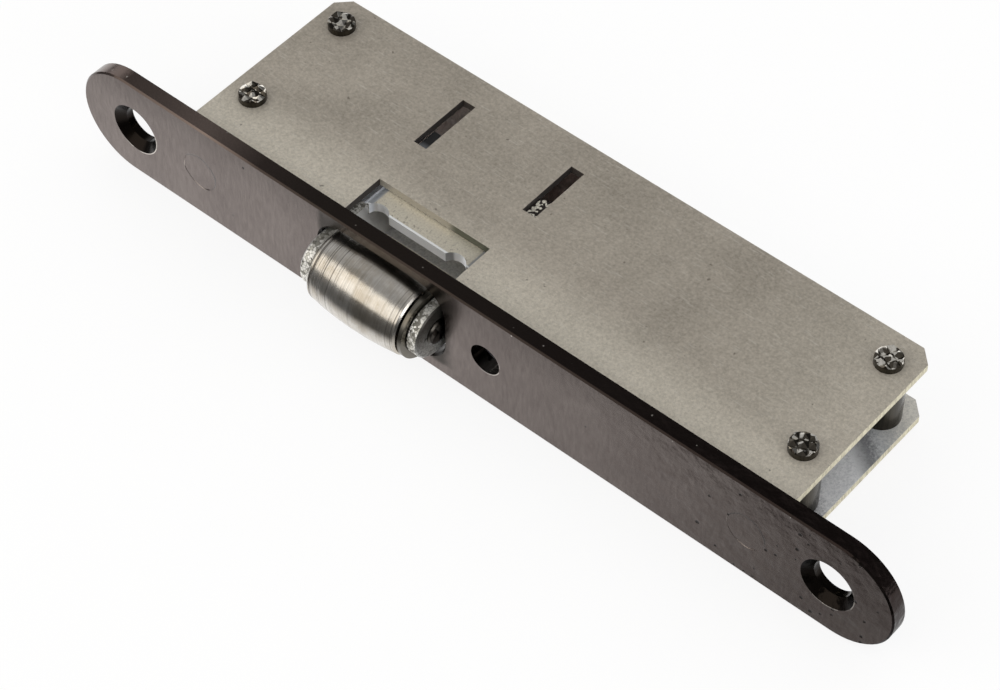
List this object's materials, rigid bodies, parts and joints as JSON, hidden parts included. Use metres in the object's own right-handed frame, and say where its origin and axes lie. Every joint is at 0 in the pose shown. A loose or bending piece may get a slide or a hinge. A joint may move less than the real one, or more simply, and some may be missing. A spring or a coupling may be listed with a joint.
{
  "type": "roller mortise lock",
  "caption": "Mortise roller latch: round-ended faceplate with a sprung barrel roller in a flat plated case held apart by riveted posts.",
  "frame": {"origin": "middle of the faceplate's front face, halfway between the two fixing holes", "axes": "+X along the faceplate, +Y into the door, +Z across the case's thickness; the lock lies on its side"},
  "size_m": [0.175, 0.051, 0.022],
  "materials": {
    "dark_lacquer": "semi-gloss",
    "zinc_sheet": "satin zinc plate",
    "turned_steel": "turned",
    "stud_steel": "head painted over",
    "fork_sheet": "satin zinc plate",
    "roller_steel": "turned, bright",
    "spring_steel": "drawn wire"
  },
  "bodies": {
    "case": {"faceplate": "dark_lacquer", "case_top_plate": "zinc_sheet", "case_shell": "zinc_sheet", "post_front_left": "turned_steel", "post_rear_left": "turned_steel", "post_front_right": "turned_steel", "post_rear_right": "turned_steel", "faceplate_stud_left": "stud_steel", "faceplate_stud_right": "stud_steel", "guide_pin": "turned_steel", "return_spring": "spring_steel"},
    "fork": {"fork": "fork_sheet", "axle": "turned_steel", "washer_left": "roller_steel", "washer_right": "roller_steel"},
    "roller": {"roller": "roller_steel"}
  },
  "joints": [
    {"name": "latch_slide", "type": "slide", "parent": "case", "child": "fork", "axis": [0, 1, 0], "range_m": [0, 0.008], "stiffness_N_per_m": 1500, "springref_m": -0.004, "deforming": ["return_spring"]},
    {"name": "roller_spin", "type": "hinge", "parent": "fork", "child": "roller", "pos_m": [-0.01787, -0.0004, 0], "axis": [1, 0, 0], "continuous": true}
  ]
}
